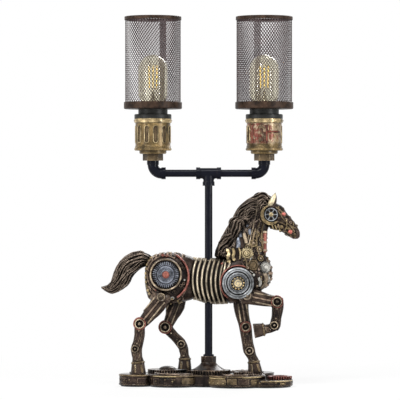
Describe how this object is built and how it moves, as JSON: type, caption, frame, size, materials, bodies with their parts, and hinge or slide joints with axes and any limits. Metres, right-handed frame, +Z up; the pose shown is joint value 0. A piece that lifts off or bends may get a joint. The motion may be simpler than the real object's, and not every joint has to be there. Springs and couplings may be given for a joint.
{
  "type": "desk lamp",
  "caption": "Desk lamp with a standing mechanical horse on a lobed base, a pipe stem through the horse and upright bulbs in open mesh shades.",
  "frame": {"origin": "on the bottom of the base pad, under the axis of the stem pipe", "axes": "+Z up along the stem pipe, +X toward the horse's head, +Y to the horse's left, away from the viewer"},
  "size_m": [0.2984, 0.1479, 0.5537],
  "materials": {
    "pad_rubber": "matte sheet rubber",
    "base_resin": "dark bronze paint, dry-brushed gold, on cast resin",
    "old_brass": "aged brass with dark recesses",
    "copper": "dull red copper",
    "bronze_resin": "antique bronze paint on cast resin",
    "black_iron": "blue-black paint on threaded iron pipe",
    "zinc_steel": "zinc plated",
    "black_rubber": "moulded",
    "splice_plastic": "moulded",
    "bright_brass": "plain brass",
    "black_phenolic": "moulded, satin",
    "wire_cover": "plastic insulation",
    "steel_blue": "steel-blue paint with worn edges",
    "silver_resin": "silver paint with dark grooves",
    "rust_steel": "dark rust-brown paint",
    "mesh_steel": "brown-grey painted steel mesh",
    "cap_metal": "rolled screw cap",
    "bulb_glass": "clear amber glass",
    "filament": "amber filament on a glass stem"
  },
  "bodies": {
    "lamp": {"base_pad": "pad_rubber", "base_casting": "base_resin", "base_rivets": "old_brass", "base_gears": "base_resin", "copper_gear": "copper", "flange_gear": "bronze_resin", "flange_cone": "bronze_resin", "flange_nut": "old_brass", "lock_ring": "black_iron", "stem_pipe": "black_iron", "stem_washer": "zinc_steel", "stem_lock_nut": "zinc_steel", "cord_bushing": "black_rubber", "splice_caps": "splice_plastic", "tee": "black_iron", "arm_pipes": "black_iron", "elbows": "black_iron", "socket_nipples": "bright_brass", "socket_nuts": "black_iron", "step_washers": "black_iron", "cups": "old_brass", "cup_pipes": "copper", "rivet_bands": "old_brass", "lampholders": "black_phenolic", "screw_shells": "bright_brass", "centre_contacts": "bright_brass", "lamp_wires": "wire_cover", "horse_hindquarters": "bronze_resin", "horse_barrel": "bronze_resin", "horse_forequarters": "bronze_resin", "horse_neck": "bronze_resin", "horse_head": "bronze_resin", "horse_mane": "bronze_resin", "horse_tail": "bronze_resin", "near_hind_leg": "bronze_resin", "far_hind_leg": "bronze_resin", "near_fore_leg": "bronze_resin", "far_fore_leg": "bronze_resin", "leg_pivots": "old_brass", "hip_rings": "old_brass", "hip_gears": "steel_blue", "shoulder_discs": "silver_resin", "copper_pipes": "copper", "neck_gears": "old_brass", "eye_wheels": "steel_blue"},
    "left_shade": {"left_shade_pan": "rust_steel", "left_shade_mesh": "mesh_steel", "left_shade_rim": "rust_steel"},
    "left_ring": {"left_shade_ring": "rust_steel"},
    "left_bulb_base": {"left_bulb_cap": "cap_metal"},
    "left_bulb": {"left_bulb_glass": "bulb_glass", "left_filament": "filament"},
    "right_shade": {"right_shade_pan": "rust_steel", "right_shade_mesh": "mesh_steel", "right_shade_rim": "rust_steel"},
    "right_ring": {"right_shade_ring": "rust_steel"},
    "right_bulb_base": {"right_bulb_cap": "cap_metal"},
    "right_bulb": {"right_bulb_glass": "bulb_glass", "right_filament": "filament"}
  },
  "joints": [
    {"name": "left_shade_turn", "type": "hinge", "parent": "lamp", "child": "left_shade", "pos_m": [-0.0835, 0, 0.41525], "axis": [0, 0, 1], "continuous": true},
    {"name": "left_ring_turn", "type": "hinge", "parent": "lamp", "child": "left_ring", "pos_m": [-0.0835, 0, 0.41675], "axis": [0, 0, 1], "range_deg": [0, 90]},
    {"name": "left_bulb_lift", "type": "slide", "parent": "lamp", "child": "left_bulb_base", "axis": [0, 0, 1], "range_m": [0, 0.0236]},
    {"name": "left_bulb_turn", "type": "hinge", "parent": "left_bulb_base", "child": "left_bulb", "pos_m": [-0.0835, 0, 0.42375], "axis": [0, 0, 1], "range_deg": [0, 2345]},
    {"name": "right_shade_turn", "type": "hinge", "parent": "lamp", "child": "right_shade", "pos_m": [0.0835, 0, 0.41525], "axis": [0, 0, 1], "continuous": true},
    {"name": "right_ring_turn", "type": "hinge", "parent": "lamp", "child": "right_ring", "pos_m": [0.0835, 0, 0.41675], "axis": [0, 0, 1], "range_deg": [0, 90]},
    {"name": "right_bulb_lift", "type": "slide", "parent": "lamp", "child": "right_bulb_base", "axis": [0, 0, 1], "range_m": [0, 0.0236]},
    {"name": "right_bulb_turn", "type": "hinge", "parent": "right_bulb_base", "child": "right_bulb", "pos_m": [0.0835, 0, 0.42375], "axis": [0, 0, 1], "range_deg": [0, 2345]}
  ],
  "couplings": [
    {"joint": "left_bulb_turn", "follows": "left_bulb_lift", "rad_per_m": 1730.9},
    {"joint": "right_bulb_turn", "follows": "right_bulb_lift", "rad_per_m": 1730.9}
  ]
}
